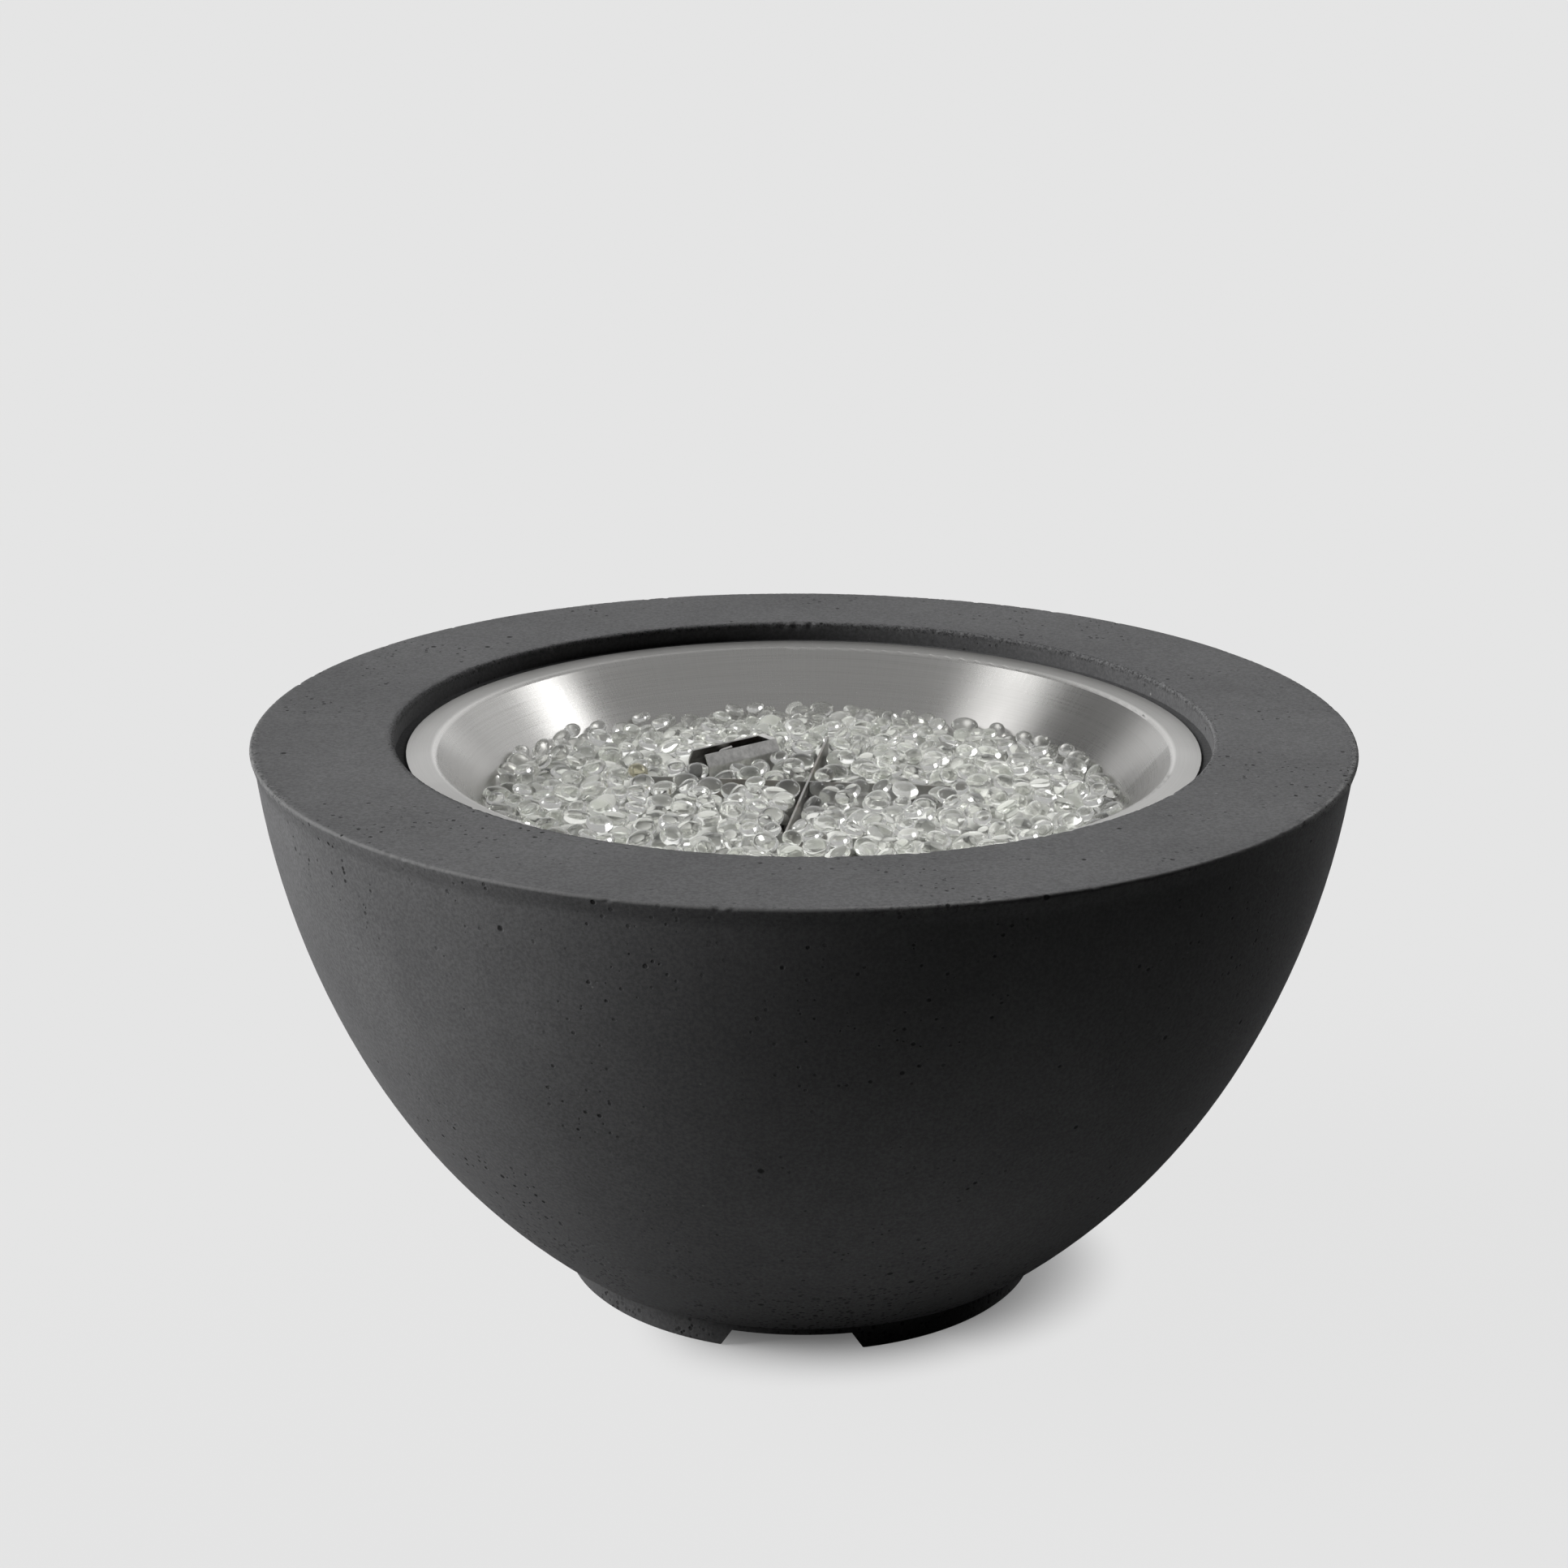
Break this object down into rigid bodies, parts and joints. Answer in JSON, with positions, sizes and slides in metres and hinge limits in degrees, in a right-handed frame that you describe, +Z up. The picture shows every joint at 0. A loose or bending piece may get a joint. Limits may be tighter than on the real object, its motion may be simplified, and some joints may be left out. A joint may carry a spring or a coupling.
{
  "type": "gas fire bowl",
  "caption": "Round concrete fire bowl on a notched foot, with a lift-out stainless burner pan of glass gems, a hooded pilot, and a gas knob and push igniter at the back.",
  "frame": {"origin": "bottom centre of the foot ring, on the bowl's own axis", "axes": "+Z up along the bowl's axis, -Y to the front that faces the viewer, +Y to the control panel at the back, +X to the viewer's right"},
  "size_m": [0.7532, 0.7532, 0.392],
  "materials": {
    "concrete": "matte",
    "stainless": "satin",
    "burner_steel": "satin",
    "brass": "satin",
    "valve_casting": "satin",
    "copper": "satin",
    "black_plastic": "matte",
    "button_plastic": "gloss",
    "battery_can": "satin",
    "ceramic": "satin",
    "rubber": "matte",
    "wire_sleeve": "satin",
    "hose_steel": "satin",
    "gem_glass": "gloss"
  },
  "bodies": {
    "bowl": {"concrete_bowl": "concrete", "control_panel": "stainless", "panel_screws": "stainless", "panel_inserts": "brass", "gas_valve": "valve_casting", "valve_nut": "stainless", "igniter_barrel": "black_plastic", "igniter_nut": "black_plastic", "igniter_battery": "battery_can", "igniter_terminal": "brass", "hose_nuts": "brass", "inlet_bracket": "stainless", "inlet_screws": "stainless", "inlet_fitting": "brass", "inlet_nut": "brass", "supply_hose": "hose_steel", "burner_hose": "hose_steel", "pilot_line": "valve_casting", "thermocouple_lead": "copper", "ignition_wire": "wire_sleeve"},
    "burner": {"burner_pan": "stainless", "gem_bed": "gem_glass", "burner_cross": "burner_steel", "cross_plate_a": "burner_steel", "cross_plate_b": "burner_steel", "burner_gasket": "rubber", "burner_nut": "brass", "air_mixer": "valve_casting", "gas_orifice": "brass", "burner_hose_nut": "brass", "pilot_hood": "stainless", "pilot_bracket": "burner_steel", "pilot_screws": "stainless", "pilot_burner": "burner_steel", "thermocouple": "copper", "electrode_insulator": "ceramic", "spark_electrode": "stainless"},
    "plunger": {"valve_plunger": "brass"},
    "knob": {"valve_stem": "stainless", "control_knob": "black_plastic", "knob_set_screw": "stainless"},
    "button": {"igniter_button": "button_plastic"}
  },
  "joints": [
    {"name": "pan_lift", "type": "slide", "parent": "bowl", "child": "burner", "axis": [0, 0, 1], "range_m": [0, 0.15], "deforming": ["burner_hose", "pilot_line", "thermocouple_lead", "ignition_wire"]},
    {"name": "knob_push", "type": "slide", "parent": "bowl", "child": "plunger", "axis": [0, -1, 0], "range_m": [0, 0.005], "stiffness_N_per_m": 1200, "springref_m": -0.004},
    {"name": "knob_turn", "type": "hinge", "parent": "plunger", "child": "knob", "pos_m": [0.03, 0.33, 0.265], "axis": [0, 1, 0], "range_deg": [0, 180]},
    {"name": "button_push", "type": "slide", "parent": "bowl", "child": "button", "axis": [0, -1, 0], "range_m": [0, 0.005], "stiffness_N_per_m": 400, "springref_m": -0.003}
  ]
}
